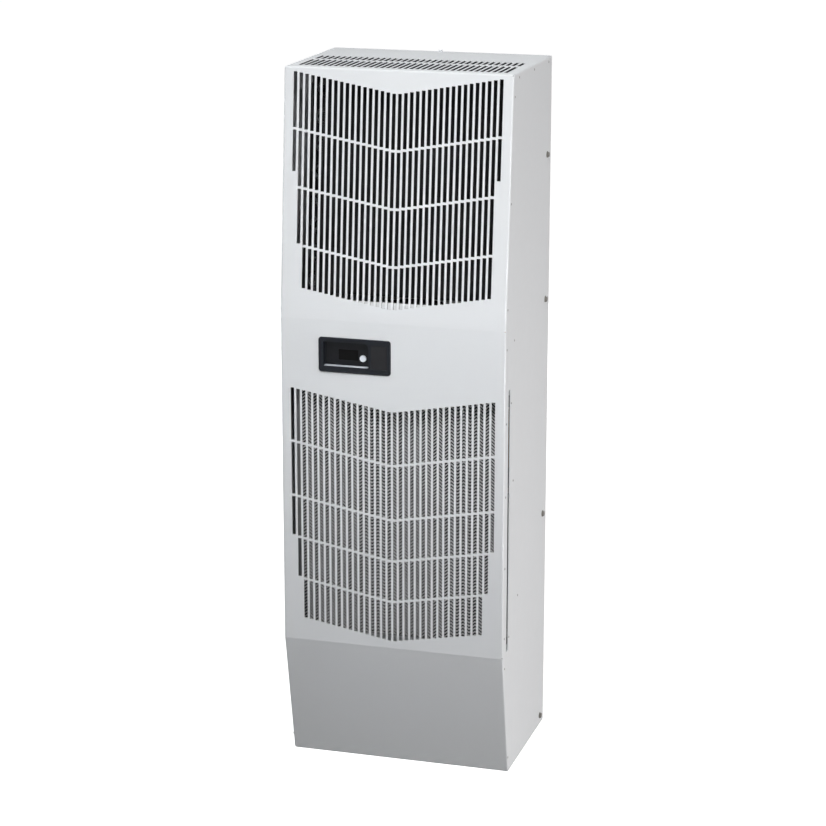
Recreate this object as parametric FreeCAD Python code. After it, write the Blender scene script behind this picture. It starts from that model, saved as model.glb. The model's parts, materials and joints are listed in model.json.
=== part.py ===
import FreeCAD, Part
import math
import os

from FreeCAD import Vector

# Enclosure air conditioner: a tall side-mounted casing with chevron-slotted grilles.
# Millimetres. X runs across, Z up, and "depth" is measured forward from the casing's back plane.

# Casing
height = 1320.0
width = 427.0
depth_top = 283.0
depth_belly = 323.5
depth_foot = 274.0
upper_fold = 866.0
lower_fold = 243.5
sheet = 1.5
bend = 3.0
relief = 2.4
seal_thickness = 4.0
seal_margin = 6.0
seal_width = 12.0
bezel_proud = 3.0
overshoot = 9.0

# Chevron grilles
columns = 36
column_pitch = 10.95
slot_width = 6.6
slot_gap = 4.5
long_slot = 100.0
short_slot = 75.0
chevron_rise = math.tan(math.radians(10.0))
upper_grille_start = 42.5
lower_grille_start = 166.2
top_front_row = (175.0, 259.0)
top_rear_row = (119.0, 166.0)

# Inside layout
post_flange = 20.0
post_depth = 40.0
post_foot = 20.0
post_top_gap = 5.0
tray_x = (-205.0, 205.0)
tray_depth = (5.0, 265.0)
tray_lip = 15.0
divider_depth = 110.0
insulation = 8.0
duct_margin = 3.0
shelf_height = 868.0
shelf_flange = 36.0
shelf_pipe_room = 7.0
duct_floor_height = 160.0

# Air filter and its slot in the right side
filter_depth = 293.0
filter_thickness = 10.0
filter_slot_width = 12.0
filter_slot_low = 249.5
filter_slot_high = 751.0
filter_gap = 1.5
filter_border = 10.0
filter_channel = 6.0
filter_wall = 1.5
filter_inset = 8.0
filter_left_gap = 17.0
rail_gap = 0.6
rail_wall = 1.2
upper_rail_lip = 10.0
lower_rail_lip = 9.0

# Controller
bezel_x = (-139.5, -1.6)
bezel_z = (769.0, 834.0)
bezel_corner = 5.5
bezel_chamfer = 1.0
panel_cutout_margin = 5.0
recess_x = (-130.0, -43.6)
recess_z = (780.4, 826.2)
recess_depth = 11.0
recess_corner = 8.0
inset_x = (-39.0, -8.5)
inset_z = (779.0, 824.0)
inset_depth = 0.8
display_x = (-104.0, -66.0)
display_z = (791.0, 810.7)
display_seat = 0.6
display_proud = 0.4
button_x = -56.8
button_z = 796.0
button_radius = 5.9
button_gap = 0.15
button_proud = 2.6
button_travel = 1.5
collar_half = 7.4
collar_thickness = 1.3
collar_gap = 0.3
board_thickness = 1.6
board_gap = 0.5
body_margin = 5.3
body_wall = 2.0
body_length = 20.0
housing_length = 22.0

# Wall interface
bolt_radius = 3.3
bolt_x = 185.0
bolt_heights = (60.0, 1260.0)
return_air = ((-140.0, 140.0), (1010.0, 1250.0))
supply_air = ((-140.0, 140.0), (190.0, 430.0))

# Coils
fin_share = 0.4
condenser_x = (-174.0, 190.0)
condenser_tilt = math.radians(12.0)
condenser_length = 396.0
condenser_thickness = 44.0
condenser_foot = (312.0, 912.0)
condenser_top = 1302.0
condenser_fin_count = 20
condenser_groove = 8.0
end_plate_lip = 3.0
end_plate_toe = 2.0
evaporator_x = (-150.0, 170.0)
evaporator_tilt = math.radians(7.0)
evaporator_centre = (52.0, 670.0)
evaporator_length = 340.0
evaporator_thickness = 44.0
evaporator_fin_count = 12
evaporator_groove = 6.0
evaporator_plate_rear = 6.0
evaporator_plate_drop = 22.0
evaporator_plate_rise = 20.0
pan_margin = 8.0
pan_rear = 40.0
pan_height = 28.0
drain_place = (160.0, 70.0)
drain_radius = 7.0

# Condenser fan
condenser_fan_depth = 200.0
condenser_fan_radius = 80.0
condenser_motor_span = (792.0, 852.0)
motor_half = 34.0
strap_half = 9.0
strap_thickness = 2.5
strap_margin = 4.0
hub_radius = 27.0
hub_height = 26.0
hub_cap = 3.0
hub_clearance = 3.0
axle_end_gap = 1.0
fan_blades = 5
blade_tip = 74.0
blade_chord = 40.0
blade_thickness = 2.0
blade_root_overlap = 3.0
blade_pitch = 28.0
axle_radius = 5.0
axle_gap = 0.05

# Evaporator fan
evaporator_fan_height = 1130.0
evaporator_wheel_radius = 100.0
evaporator_eye = 74.0
inlet_box_depth = 16.0
inlet_box_margin = 15.0
wheel_rim = 20.0
wheel_disc = (58.0, 60.0)
wheel_hub_face = 40.0
wheel_hub_radius = 14.0
wheel_blades = 7
wheel_blade_length = 42.0
wheel_blade_thickness = 2.0
wheel_blade_centre = 80.0
wheel_blade_turn = 40.0
evaporator_motor_half = 42.0
evaporator_motor_gap = 4.0
motor_plate_half = 60.0

# Refrigerant circuit
compressor_place = (85.0, 200.0)
compressor_radius = 62.0
compressor_span = (18.0, 268.0)
foot_angles = (150.0, 270.0, 30.0)
foot_lobe = 78.0
foot_lobe_half = 10.3
foot_thickness = 3.0
pad_circle = 62.0
pad_half = 10.0
terminal_x = (8.0, 30.0)
terminal_half = 14.0
terminal_height = 22.0
accumulator_place = (186.0, 150.0)
accumulator_radius = 24.0
accumulator_span = (100.0, 232.0)
stub_height = 150.0
header_half = 8.0
discharge_x = condenser_x[0] - sheet - header_half
discharge_depth = 200.0
discharge_header = (1180.0, 1280.0)
discharge_radius = 5.0
discharge_turn = 12.0
discharge_rise = 42.0
liquid_x = condenser_x[1] + sheet + header_half
liquid_depth = 270.0
liquid_header = (915.0, 975.0)
liquid_radius = 4.0
drier_span = (600.0, 710.0)
drier_radius = 11.0
suction_height = 800.0
suction_radius = 6.0
suction_turn = 14.0
suction_room = 9.0
suction_header_depth = 20.0
suction_header_drop = 120.0
suction_header_rise = 10.0
capillary_height = 545.0
capillary_radius = 3.0
capillary_turn = 10.0
capillary_room = 5.0
distributor_depth = 16.0
distributor_reach = 4.0
evaporator_header_face = 64.0

# Electrical box, and the places of the devices in it
box_x = (-205.0, -60.0)
box_depth = (divider_depth, 186.0)
box_z = (60.0, 330.0)
box_wall = 1.2
contactor_x = (-190.0, -140.0)
contactor_z = (230.0, 300.0)
contactor_depth = 34.0
contactor_cap_x = (-186.0, -144.0)
contactor_cap_z = (244.0, 286.0)
contactor_cap_depth = 22.0
capacitor_x = (-112.0, -72.0)
capacitor_depth = 34.0
capacitor_height = 92.0
terminal_strip_x = (-195.0, -75.0)
terminal_strip_z = (180.0, 204.0)
terminal_strip_depth = 14.0
terminal_ribs = 6
terminal_pitch = 20.0
terminal_rib = 3.0
terminal_rib_depth = 10.0

overall_depth = seal_thickness + depth_belly + bezel_proud
back_y = overall_depth / 2 - seal_thickness
half = width / 2
inner = half - sheet
upper_slope = (depth_belly - depth_top) / (height - upper_fold)
apron_slope = (depth_belly - depth_foot) / lower_fold
duct_front = divider_depth - sheet - insulation
evaporator_low = evaporator_centre[1] - evaporator_length / 2 - evaporator_plate_drop
evaporator_high = evaporator_centre[1] + evaporator_length / 2 + evaporator_plate_rise
bezel_front = depth_belly + bezel_proud
bezel_floor = bezel_front - recess_depth
bezel_back = bezel_floor - body_wall
body_back = depth_belly - body_length
box_back = box_depth[0] + box_wall
filter_z = (filter_slot_low + filter_gap, filter_slot_high - filter_gap)
filter_x = (-inner + filter_left_gap, half - filter_inset)
filter_span = (filter_depth - filter_thickness / 2, filter_depth + filter_thickness / 2)

RIGHT = Vector(1, 0, 0)
REARWARD = Vector(0, 1, 0)
FORWARD = Vector(0, -1, 0)
UP = Vector(0, 0, 1)
ORIGIN = Vector(0, 0, 0)


def at(x, depth, z):
    return Vector(x, back_y - depth, z)


def around(middle, amount):
    return (middle - amount, middle + amount)


def inset(span, amount):
    return (span[0] + amount, span[1] - amount)


def block(x, depth, z):
    return Part.makeBox(x[1] - x[0], depth[1] - depth[0], z[1] - z[0], at(x[0], depth[1], z[0]))


def rod(start, direction, radius, length):
    return Part.makeCylinder(radius, length, start, direction)


def ring(start, direction, outer, hole, length):
    return rod(start, direction, outer, length).cut(rod(start, direction, hole, length))


def fuse(shapes):
    return shapes[0].multiFuse(shapes[1:]).removeSplitter()


def outline_face(points):
    return Part.Face(Part.makePolygon(points + points[:1]))


def across(points, x):
    """A solid from a (depth, z) outline, drawn out across the casing."""
    face = outline_face([at(x[0], depth, z) for depth, z in points])
    return face.extrude(RIGHT * (x[1] - x[0]))


def arc(start, middle, end):
    return Part.Arc(start, middle, end).toShape()


def line(start, end):
    return Part.LineSegment(start, end).toShape()


def rounded_plate(x, depth, z, corner):
    """A plate facing forward, with its four corners rounded."""
    solid = block(x, depth, z)
    edges = [e for e in solid.Edges if abs(e.tangentAt(0).dot(REARWARD)) > 0.9]
    return solid.makeFillet(corner, edges)


def pipe(points, radius, turn):
    """A round pipe of straight runs, each corner turned in two mitres."""
    path = [points[0]]
    for before, corner, after in zip(points, points[1:], points[2:]):
        path.append(corner + (before - corner).normalize() * turn)
        path.append(corner + (after - corner).normalize() * turn)
    path.append(points[-1])
    section = Part.Wire(Part.makeCircle(radius, path[0], path[1] - path[0]))
    mitred = 1
    return Part.makePolygon(path).makePipeShell([section], True, False, mitred)


# Casing
def front_depth(z):
    """Depth of the casing's front at a height."""
    if z >= upper_fold:
        return depth_belly - (z - upper_fold) * upper_slope
    if z >= lower_fold:
        return depth_belly
    return depth_belly - (lower_fold - z) * apron_slope


# Where the bends along the top and bottom front edges run out into the sloping sheet
def bend_reach(slope):
    return bend * math.tan((math.pi / 2 - math.atan(slope)) / 2)


top_reach = bend_reach(upper_slope)
foot_reach = bend_reach(apron_slope)
top_bend_z = height - top_reach * math.cos(math.atan(upper_slope))
foot_bend_z = foot_reach * math.cos(math.atan(apron_slope))


def front_facet(z_low, z_high):
    """One flat of the folded front, with its quarter-round bends towards the sides."""
    depth = front_depth(z_low)
    corner = half - bend
    centre_depth = depth - bend
    slant = math.sqrt(0.5)
    edges = []
    for radius, side, next_edge in ((bend, 1, inner), (bend - sheet, -1, half)):
        ends = []
        for sign in (-side, side):
            flank = at(sign * (corner + radius), centre_depth, z_low)
            middle = at(sign * (corner + radius * slant), centre_depth + radius * slant, z_low)
            crown = at(sign * corner, centre_depth + radius, z_low)
            ends.append((flank, middle, crown))
        edges.append(arc(*ends[0]))
        edges.append(line(ends[0][2], ends[1][2]))
        edges.append(arc(*reversed(ends[1])))
        edges.append(line(ends[1][0], at(side * next_edge, centre_depth, z_low)))
    section = Part.Face(Part.Wire(Part.__sortEdges__(edges)))
    rise = at(0, front_depth(z_high), z_high) - at(0, depth, z_low)
    return section.extrude(rise)


def column_x(number):
    return (number - (columns + 1) / 2) * column_pitch


def grille_slots(start_z, shrink, rows):
    """The slots of one chevron grille; a row gives its slot length, end length and first and last column."""
    slots = []
    drop = 0.0
    reach = overshoot + long_slot * upper_slope
    for length, end_length, first, last in rows:
        for number in range(first, last + 1):
            x = column_x(number)
            at_end = number in (1, columns)
            top = start_z - (drop - abs(x) * chevron_rise) * shrink
            low = top - (end_length if at_end else length) * shrink
            slots.append(block(around(x, slot_width / 2), around(front_depth(low), reach), (low, top)))
        drop += length + slot_gap
    return slots


def fold_reliefs():
    """Small notches where the two folds run out at the casing's front edges."""
    notches = []
    for sign in (-1, 1):
        x = sorted((sign * (half - relief), sign * (half + overshoot)))
        for z in ((lower_fold, lower_fold + relief), (upper_fold - relief, upper_fold)):
            notches.append(block(x, (depth_belly - relief, depth_belly + overshoot), z))
    return notches


def upper_grille_panel():
    panel = front_facet(upper_fold, top_bend_z)
    shrink = math.cos(math.atan(upper_slope))
    rows = ((long_slot, long_slot, 1, columns), (long_slot, short_slot, 1, columns),
            (long_slot, long_slot, 2, columns - 1), (short_slot, short_slot, 3, columns - 1))
    slots = grille_slots(height - upper_grille_start * shrink, shrink, rows)
    return panel.cut(Part.makeCompound(slots))


def lower_grille_panel():
    panel = front_facet(lower_fold, upper_fold)
    rows = ((long_slot, long_slot, 1, columns), (long_slot, long_slot, 1, columns),
            (short_slot, short_slot, 1, columns), (short_slot, short_slot, 2, columns - 1),
            (short_slot, short_slot, 3, columns - 2))
    slots = grille_slots(upper_fold - lower_grille_start, 1.0, rows)
    window = block(inset(bezel_x, panel_cutout_margin), around(depth_belly, overshoot),
                   inset(bezel_z, panel_cutout_margin))
    return panel.cut(Part.makeCompound(slots + [window] + fold_reliefs()))


def lower_apron():
    return front_facet(foot_bend_z, lower_fold)


def edge_bend(corner_depth, reach, slope, z_of):
    """Level sheet that turns at its front edge into a sloping facet; z_of counts from the outer face."""
    tilt = math.atan(slope)
    centre = corner_depth - reach
    middle = (math.pi / 2 + tilt) / 2
    end_depth = centre + bend * math.cos(tilt)
    end_down = bend - bend * math.sin(tilt)

    def spot(depth, down):
        return at(-half + bend, depth, z_of(down))

    def on_arc(radius):
        return spot(centre + radius * math.cos(middle), bend - radius * math.sin(middle))

    outer_end = spot(end_depth, end_down)
    inner_end = spot(end_depth - sheet, end_down)
    edges = [
        line(spot(0, 0), spot(centre, 0)),
        arc(spot(centre, 0), on_arc(bend), outer_end),
        line(outer_end, inner_end),
        arc(inner_end, on_arc(bend - sheet), spot(centre, sheet)),
        line(spot(centre, sheet), spot(0, sheet)),
        line(spot(0, sheet), spot(0, 0)),
    ]
    return Part.Face(Part.Wire(edges)).extrude(RIGHT * (width - 2 * bend))


def top_grille_panel():
    panel = edge_bend(depth_top, top_reach, upper_slope, lambda down: height - down)
    slots = []
    for number in range(1, columns + 1):
        x = around(column_x(number), slot_width / 2)
        for row in (top_front_row, top_rear_row):
            slots.append(block(x, row, around(height, overshoot)))
    return panel.cut(Part.makeCompound(slots))


def base_panel():
    return edge_bend(depth_foot, foot_reach, apron_slope, lambda down: down)


def side_panel(sign):
    """A flat side that follows the front's folds, turned inwards along its top and bottom edges."""
    points = [(0, bend), (front_depth(foot_bend_z) - bend, bend), (depth_belly - bend, lower_fold),
              (depth_belly - bend, upper_fold), (front_depth(top_bend_z) - bend, height - bend),
              (0, height - bend)]
    plates = [across(points, sorted((sign * half, sign * inner)))]
    edges = ((height - bend, 1, depth_top - top_reach), (bend, -1, depth_foot - foot_reach))
    for centre_z, up, reach in edges:
        centre = at(sign * (half - bend), 0, centre_z)
        tube = ring(centre, FORWARD, bend, bend - sheet, reach)
        z = sorted((centre_z, centre_z + up * bend))
        quarter = block(sorted((sign * (half - bend), sign * half)), (0, reach), z)
        plates.append(tube.common(quarter))
    return fuse(plates)


def left_side_panel():
    return side_panel(-1)


def right_side_panel():
    opening = block((inner - overshoot, half + overshoot), around(filter_depth, filter_slot_width / 2),
                    (filter_slot_low, filter_slot_high))
    return side_panel(1).cut(opening)


def rear_panel():
    """Flat back with clipped corners, the two air openings and the four wall bolt holes."""
    low, high = sheet, height - sheet
    corners = [(-inner + bend, low), (inner - bend, low), (inner, low + bend), (inner, high - bend),
               (inner - bend, high), (-inner + bend, high), (-inner, high - bend), (-inner, low + bend)]
    plate = outline_face([at(x, sheet, z) for x, z in corners]).extrude(REARWARD * sheet)
    cuts = [block(x, around(0, overshoot), z) for x, z in (return_air, supply_air)]
    for z in bolt_heights:
        for x in (-bolt_x, bolt_x):
            cuts.append(rod(at(x, overshoot, z), REARWARD, bolt_radius, 2 * overshoot))
    return plate.cut(Part.makeCompound(cuts))


def wall_seal():
    """Four butt-jointed foam strips around the edge of the back."""
    reach = half - seal_margin
    z = (seal_margin, height - seal_margin)
    depth = (-seal_thickness, 0)
    strips = []
    for end in (z[0], z[1] - seal_width):
        strips.append(block((-reach, reach), depth, (end, end + seal_width)))
    for start in (-reach, reach - seal_width):
        strips.append(block((start, start + seal_width), depth, inset(z, seal_width)))
    return Part.makeCompound(strips)


# Inside layout
def rear_posts():
    """Folded uprights in the two rear corners, which take the cover's side screws."""
    z = (post_foot, height - post_top_gap)
    posts = []
    for sign in (-1, 1):
        rear_leg = block(sorted((sign * (inner - post_flange), sign * inner)), (sheet, 2 * sheet), z)
        side_leg = block(sorted((sign * (inner - sheet), sign * inner)), (sheet, post_depth), z)
        posts.append(fuse([rear_leg, side_leg]))
    return Part.makeCompound(posts)


def base_tray():
    near, far = tray_depth
    floor, rim = sheet, sheet + tray_lip
    points = [(near, rim), (near, floor), (far, floor), (far, rim), (far - sheet, rim),
              (far - sheet, floor + sheet), (near + sheet, floor + sheet), (near + sheet, rim)]
    return across(points, tray_x)


def pipe_passages():
    """Square openings in the divider for the suction pipe and the capillary tube."""
    depth = (duct_front - overshoot, divider_depth + overshoot)
    suction = block(around(accumulator_place[0], suction_room), depth, around(suction_height, suction_room))
    capillary = block(around(liquid_x, capillary_room), depth, around(capillary_height, capillary_room))
    return Part.makeCompound([suction, capillary])


def air_divider():
    plate = block((-inner, inner), (divider_depth - sheet, divider_depth), (2 * sheet, height - bend))
    return plate.cut(pipe_passages())


def divider_insulation():
    foam = block(inset((-inner, inner), duct_margin), (duct_front, divider_depth - sheet),
                 (duct_floor_height + sheet, height - 3 * sheet))
    return foam.cut(pipe_passages())


def duct_floor():
    return block(inset((-inner, inner), duct_margin), (2 * sheet, divider_depth - sheet),
                 (duct_floor_height, duct_floor_height + sheet))


def mid_shelf():
    """Level shelf that carries the condenser, with a front flange turned up behind the upper grille."""
    low = shelf_height
    top = low + shelf_flange
    points = [(divider_depth, low), (front_depth(low) - sheet, low), (front_depth(top) - sheet, top),
              (front_depth(top) - 2 * sheet, top), (front_depth(low + sheet) - 2 * sheet, low + sheet),
              (divider_depth, low + sheet)]
    shelf = across(points, inset((-inner, inner), sheet))
    cuts = [rod(at(0, condenser_fan_depth, low - overshoot), UP, condenser_fan_radius, 2 * overshoot)]
    for x, depth in ((discharge_x, discharge_depth), (liquid_x, liquid_depth)):
        cuts.append(block(around(x, shelf_pipe_room), around(depth, shelf_pipe_room), around(low, overshoot)))
    return shelf.cut(Part.makeCompound(cuts))


# Coils
def comb_block(x, thickness, length, fins, groove):
    """A finned coil block standing on the origin: a core with open grooves between fins on its front."""
    pitch = (x[1] - x[0]) / fins
    fin = pitch * fin_share
    points = [Vector(x[0], thickness, 0)]
    for number in range(fins):
        start = x[0] + number * pitch
        points += [Vector(start, 0, 0), Vector(start + fin, 0, 0)]
        if number < fins - 1:
            points += [Vector(start + fin, groove, 0), Vector(start + pitch, groove, 0)]
    points[-1] = Vector(x[1], 0, 0)
    points.append(Vector(x[1], thickness, 0))
    return outline_face(points).extrude(UP * length)


def condenser_fins():
    """The condenser leans back at its top, held between its two end plates."""
    core = comb_block(condenser_x, condenser_thickness, condenser_length, condenser_fin_count,
                      condenser_groove)
    core.rotate(ORIGIN, RIGHT, -math.degrees(condenser_tilt))
    core.translate(at(0, *condenser_foot))
    return core


condenser_front = condenser_foot[0] + end_plate_lip
condenser_crown = condenser_front - (condenser_top - condenser_foot[1]) * math.tan(condenser_tilt)


def condenser_end_plates():
    floor = shelf_height + sheet
    points = [(divider_depth, floor), (condenser_front + end_plate_toe, floor),
              (condenser_front, condenser_foot[1]), (condenser_crown, condenser_top),
              (divider_depth, condenser_top)]
    left = across(points, (condenser_x[0] - sheet, condenser_x[0]))
    right = across(points, (condenser_x[1], condenser_x[1] + sheet))
    return Part.makeCompound([left, right])


def plenum_cover():
    return block(inset(condenser_x, -sheet), (divider_depth, condenser_crown),
                 (condenser_top, condenser_top + sheet))


def condenser_headers():
    """Square manifolds on the outer faces of the condenser's two end plates."""
    manifolds = []
    for x, depth, z in ((discharge_x, discharge_depth, discharge_header), (liquid_x, liquid_depth, liquid_header)):
        manifolds.append(block(around(x, header_half), around(depth, header_half), z))
    return Part.makeCompound(manifolds)


def evaporator_fins():
    core = comb_block(evaporator_x, evaporator_thickness, evaporator_length, evaporator_fin_count,
                      evaporator_groove)
    core.translate(Vector(0, -evaporator_thickness / 2, -evaporator_length / 2))
    core.rotate(ORIGIN, RIGHT, -math.degrees(evaporator_tilt))
    core.translate(at(0, *evaporator_centre))
    return core


def evaporator_end_plates():
    depth = (evaporator_plate_rear, duct_front)
    z = (evaporator_low, evaporator_high)
    left = block((evaporator_x[0] - sheet, evaporator_x[0]), depth, z)
    right = block((evaporator_x[1], evaporator_x[1] + sheet), depth, z)
    return Part.makeCompound([left, right])


def evaporator_headers():
    """Upright suction header and the small distributor beside the evaporator's right end plate."""
    start = evaporator_x[1] + sheet
    face = evaporator_header_face
    suction = block((start, accumulator_place[0] + header_half), (face - suction_header_depth, face),
                    (suction_height - suction_header_drop, suction_height + suction_header_rise))
    distributor = block((start, liquid_x + distributor_reach), (face - distributor_depth, face),
                        around(capillary_height, header_half))
    return Part.makeCompound([suction, distributor])


def condensate_pan():
    x = inset(evaporator_x, -pan_margin)
    depth = (pan_rear, duct_front)
    z = (evaporator_low - pan_height, evaporator_low)
    hollow = block(inset(x, sheet), inset(depth, sheet), (z[0] + sheet, z[1]))
    return block(x, depth, z).cut(hollow)


def drain_tube():
    floor = duct_floor_height + sheet
    return rod(at(*drain_place, floor), UP, drain_radius, evaporator_low - pan_height - floor)


# Fans
def condenser_fan_motor():
    """Square motor with the fixed axle that the fan turns on."""
    motor = block(around(0, motor_half), around(condenser_fan_depth, motor_half), condenser_motor_span)
    seat = at(0, condenser_fan_depth, condenser_motor_span[1])
    return fuse([motor, rod(seat, UP, axle_radius, hub_height - axle_end_gap)])


def condenser_fan_bracket():
    """Flat strap under the motor, with its two arms turned up to the shelf."""
    low = condenser_motor_span[0]
    x = around(0, condenser_fan_radius + strap_margin)
    depth = around(condenser_fan_depth, strap_half)
    strap = block(x, depth, (low - strap_thickness, shelf_height))
    return strap.cut(block(inset(x, strap_thickness), depth, (low, shelf_height)))


def condenser_fan_blades():
    """Five flat pitched blades on a round hub, turning in the shelf's round opening."""
    hub_low = condenser_motor_span[1] + hub_clearance
    root = hub_radius - blade_root_overlap
    pieces = [rod(UP * hub_low, UP, hub_radius, hub_height)]
    for number in range(fan_blades):
        corner = Vector(root, -blade_chord / 2, -blade_thickness / 2)
        blade = Part.makeBox(blade_tip - root, blade_chord, blade_thickness, corner)
        blade.rotate(ORIGIN, RIGHT, blade_pitch)
        blade.translate(UP * (hub_low + hub_height / 2))
        blade.rotate(ORIGIN, UP, number * 360 / fan_blades)
        pieces.append(blade)
    bore = rod(UP * hub_low, UP, axle_radius + axle_gap, hub_height - hub_cap)
    fan = fuse(pieces).cut(bore)
    fan.translate(at(0, condenser_fan_depth, 0))
    return fan


def evaporator_inlet_plate():
    """Shallow box behind the return-air opening, with the fan's round inlet."""
    x = inset(return_air[0], -inlet_box_margin)
    z = inset(return_air[1], -inlet_box_margin)
    box = block(x, (sheet, inlet_box_depth), z)
    hollow = block(inset(x, sheet), (sheet, inlet_box_depth - sheet), inset(z, sheet))
    eye = rod(at(0, inlet_box_depth + overshoot, evaporator_fan_height), REARWARD, evaporator_eye,
              inlet_box_depth + overshoot)
    return box.cut(hollow).cut(eye)


def evaporator_wheel():
    """Backward-inclined wheel: a back disc with a hub and seven flat blades."""
    centre = at(0, 0, evaporator_fan_height)
    seat = centre + FORWARD * wheel_disc[0]
    disc = rod(seat, FORWARD, evaporator_wheel_radius, wheel_disc[1] - wheel_disc[0])
    hub = rod(centre + FORWARD * wheel_hub_face, FORWARD, wheel_hub_radius, wheel_disc[0] - wheel_hub_face)
    pieces = [disc, hub]
    for number in range(wheel_blades):
        corner = seat + Vector(-wheel_blade_length / 2, 0, -wheel_blade_thickness / 2)
        blade = Part.makeBox(wheel_blade_length, wheel_disc[0] - wheel_rim, wheel_blade_thickness, corner)
        blade.rotate(centre, FORWARD, wheel_blade_turn)
        blade.translate(RIGHT * wheel_blade_centre)
        blade.rotate(centre, FORWARD, number * 360 / wheel_blades)
        pieces.append(blade)
    bore = rod(centre + FORWARD * (wheel_hub_face + hub_cap), FORWARD, axle_radius + axle_gap, wheel_disc[1])
    return fuse(pieces).cut(bore)


def evaporator_fan_motor():
    """Flat square motor with the fixed axle that the wheel turns on."""
    near = wheel_disc[1] + evaporator_motor_gap
    motor = block(around(0, evaporator_motor_half), (near, duct_front - sheet),
                  around(evaporator_fan_height, evaporator_motor_half))
    reach = near - wheel_hub_face - hub_cap - axle_end_gap
    axle = rod(at(0, near, evaporator_fan_height), REARWARD, axle_radius, reach)
    return fuse([motor, axle])


def evaporator_motor_plate():
    return block(around(0, motor_plate_half), (duct_front - sheet, duct_front),
                 around(evaporator_fan_height, motor_plate_half))


# Refrigerant circuit
def around_compressor(radius, degrees, z):
    x, depth = compressor_place
    angle = math.radians(degrees)
    return at(x + radius * math.cos(angle), depth + radius * math.sin(angle), z)


def compressor_shell():
    low, high = compressor_span
    return rod(at(*compressor_place, low), UP, compressor_radius, high - low)


def compressor_base():
    """Three-lobed foot under the shell, on its rubber mounts."""
    low = compressor_span[0] - foot_thickness
    points = []
    for angle in foot_angles:
        for corner in around(angle, foot_lobe_half):
            points.append(around_compressor(foot_lobe, corner, low))
    return outline_face(points).extrude(UP * foot_thickness)


def compressor_pads():
    """Square rubber pads between the foot and the base tray."""
    floor = 2 * sheet
    tall = compressor_span[0] - foot_thickness - floor
    side = 2 * pad_half
    pads = []
    for angle in foot_angles:
        corner = around_compressor(pad_circle, angle, floor) - Vector(pad_half, pad_half, 0)
        pads.append(Part.makeBox(side, side, tall, corner))
    return Part.makeCompound(pads)


def compressor_terminal_cover():
    x, depth = compressor_place
    z = (compressor_span[1], compressor_span[1] + terminal_height)
    return block((x + terminal_x[0], x + terminal_x[1]), around(depth, terminal_half), z)


def accumulator():
    low, high = accumulator_span
    return rod(at(*accumulator_place, low), UP, accumulator_radius, high - low)


def suction_stub():
    """Short level tube from the accumulator's flank to the compressor's."""
    start = at(*accumulator_place, stub_height)
    run = at(*compressor_place, stub_height) - start
    length = run.Length - accumulator_radius - compressor_radius
    run.normalize()
    return rod(start + run * accumulator_radius, run, suction_radius, length)


def suction_pipe():
    x, depth = accumulator_place
    return pipe([at(x, depth, accumulator_span[1]), at(x, depth, suction_height),
                 at(x, evaporator_header_face, suction_height)], suction_radius, suction_turn)


def discharge_pipe():
    x, depth = compressor_place
    level = compressor_span[1] + discharge_rise
    return pipe([at(x, depth, compressor_span[1]), at(x, depth, level), at(discharge_x, depth, level),
                 at(discharge_x, depth, discharge_header[0])], discharge_radius, discharge_turn)


def filter_drier():
    low, high = drier_span
    return rod(at(liquid_x, liquid_depth, low), UP, drier_radius, high - low)


def liquid_pipe():
    return rod(at(liquid_x, liquid_depth, drier_span[1]), UP, liquid_radius, liquid_header[0] - drier_span[1])


def capillary_tube():
    x = liquid_x
    return pipe([at(x, liquid_depth, drier_span[0]), at(x, liquid_depth, capillary_height),
                 at(x, evaporator_header_face, capillary_height)], capillary_radius, capillary_turn)


# Electrical parts
def electrical_box():
    shell = block(box_x, box_depth, box_z)
    return shell.cut(block(inset(box_x, box_wall), (box_back, box_depth[1]), inset(box_z, box_wall)))


def electrical_lid():
    return block(box_x, (box_depth[1], box_depth[1] + box_wall), box_z)


def contactor():
    face = box_back + contactor_depth
    base = block(contactor_x, (box_back, face), contactor_z)
    cap = block(contactor_cap_x, (face, face + contactor_cap_depth), contactor_cap_z)
    return fuse([base, cap])


def run_capacitor():
    floor = box_z[0] + box_wall
    return block(capacitor_x, (box_back, box_back + capacitor_depth), (floor, floor + capacitor_height))


def terminal_block():
    """Comb-shaped terminal strip."""
    face = box_back + terminal_strip_depth
    rib_depth = (face, face + terminal_rib_depth)
    pieces = [block(terminal_strip_x, (box_back, face), terminal_strip_z)]
    for number in range(terminal_ribs):
        start = terminal_strip_x[0] + number * terminal_pitch
        pieces.append(block((start, start + terminal_rib), rib_depth, terminal_strip_z))
    return fuse(pieces)


# Controller
def controller_bezel():
    """Moulded frame: rounded flange on the panel, deep recess for the display and a plain shallow inset."""
    flange = rounded_plate(bezel_x, (depth_belly, bezel_front), bezel_z, bezel_corner)
    front_y = back_y - bezel_front
    front_edges = [e for e in flange.Edges if abs(e.BoundBox.YMax - front_y) < 0.01]
    flange = flange.makeChamfer(bezel_chamfer, front_edges)
    body = block(inset(bezel_x, body_margin), (body_back, depth_belly), inset(bezel_z, body_margin))
    hollow = block(inset(bezel_x, body_margin + body_wall), (body_back, bezel_back),
                   inset(bezel_z, body_margin + body_wall))
    past = bezel_front + overshoot
    recess = block(recess_x, (bezel_floor, past), recess_z)
    upper_right = [e for e in recess.Edges if abs(e.tangentAt(0).dot(REARWARD)) > 0.9
                   and e.BoundBox.XMin > recess_x[1] - 1 and e.BoundBox.ZMin > recess_z[1] - 1]
    recess = recess.makeFillet(recess_corner, upper_right)
    panel = block(inset_x, (bezel_front - inset_depth, past), inset_z)
    window = block(display_x, (bezel_floor - display_seat, past), display_z)
    hole = rod(at(button_x, past, button_z), REARWARD, button_radius + button_gap, past - body_back)
    return fuse([flange, body.cut(hollow)]).cut(Part.makeCompound([recess, panel, window, hole]))


def display_window():
    return block(display_x, (bezel_floor - display_seat, bezel_floor + display_proud), display_z)


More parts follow.
